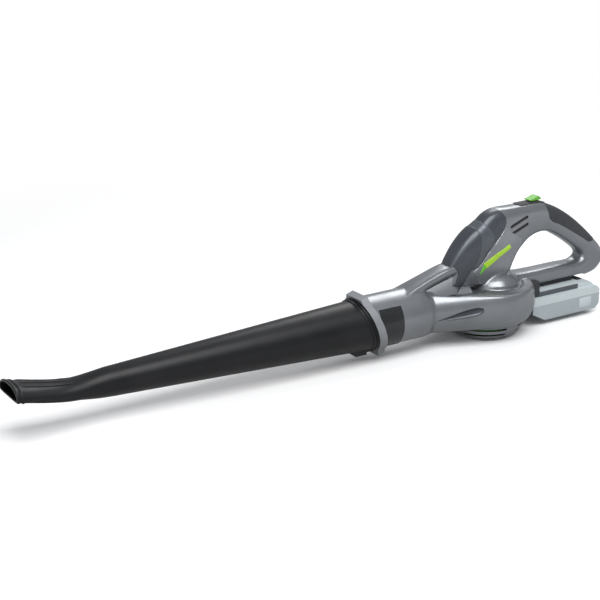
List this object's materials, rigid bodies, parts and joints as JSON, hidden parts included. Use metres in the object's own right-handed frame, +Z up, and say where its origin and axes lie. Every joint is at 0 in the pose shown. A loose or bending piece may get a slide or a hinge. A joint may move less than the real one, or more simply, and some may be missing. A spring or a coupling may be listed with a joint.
{
  "type": "leaf blower",
  "caption": "Cordless hand-held leaf blower with a loop handle, round fan housing, long tapered tube with a flat upturned tip, and a slide-on battery.",
  "frame": {"origin": "on the fan axis, in the plane of the flat underside of the intake grille", "axes": "+X forward to the nozzle, +Y to the user's left, +Z up; the casing splits on Y = 0"},
  "size_m": [1.0797, 0.167, 0.217],
  "materials": {
    "casing": "satin moulded",
    "collar": "satin moulded",
    "band": "satin film",
    "dark_plastic": "matte moulded",
    "soft_grip": "soft matte",
    "lime": "satin",
    "slider": "satin",
    "fan": "satin",
    "tube": "satin moulded",
    "pack": "satin",
    "pack_top": "satin",
    "button": "satin",
    "cell": "shrink film",
    "steel": "plain",
    "bronze": "plain",
    "copper": "varnished winding",
    "board": "coated board",
    "lead": "insulated wire"
  },
  "bodies": {
    "casing": {"left_housing": "casing", "right_housing": "casing", "collar_ring": "collar", "tube_spigot": "dark_plastic", "neck_band_left": "band", "neck_band_right": "band", "intake_grille": "casing", "inlet_ring": "dark_plastic", "grip_overmold": "soft_grip", "switch_plate": "dark_plastic", "side_accent_left": "lime", "side_accent_right": "lime", "motor_can": "steel", "motor_mount": "dark_plastic", "bearing_lower": "bronze", "bearing_upper": "bronze", "brush_holders": "dark_plastic", "control_board": "board", "microswitch": "dark_plastic", "rail_holder": "dark_plastic", "terminal_blades": "bronze", "power_leads": "lead", "housing_screws": "steel", "grille_screws": "steel", "mount_screws": "steel"},
    "fan": {"fan_wheel": "fan", "motor_shaft": "steel", "rotor_core": "copper", "commutator": "copper", "shaft_nut": "steel"},
    "tube": {"blower_tube": "tube"},
    "latch": {"tube_latch": "tube"},
    "slider": {"switch_slider": "slider"},
    "battery": {"battery_lower_case": "pack", "battery_upper_case": "pack_top", "battery_cells": "cell", "battery_contacts": "bronze", "battery_screws": "steel"},
    "release": {"battery_button": "button"}
  },
  "joints": [
    {"name": "fan_spin", "type": "hinge", "parent": "casing", "child": "fan", "pos_m": [0, 0, 0.05], "axis": [0, 0, 1], "continuous": true},
    {"name": "tube_slide", "type": "slide", "parent": "casing", "child": "tube", "axis": [1, 0, 0], "range_m": [0, 0.09]},
    {"name": "latch_press", "type": "slide", "parent": "tube", "child": "latch", "axis": [0, 0, 1], "range_m": [0, 0.0018], "stiffness_N_per_m": 600},
    {"name": "switch_slide", "type": "slide", "parent": "casing", "child": "slider", "axis": [1, 0, 0], "range_m": [0, 0.013]},
    {"name": "battery_slide", "type": "slide", "parent": "casing", "child": "battery", "axis": [-1, 0, 0], "range_m": [0, 0.13]},
    {"name": "button_press", "type": "slide", "parent": "battery", "child": "release", "axis": [0, 0, -1], "range_m": [0, 0.003], "stiffness_N_per_m": 500}
  ]
}
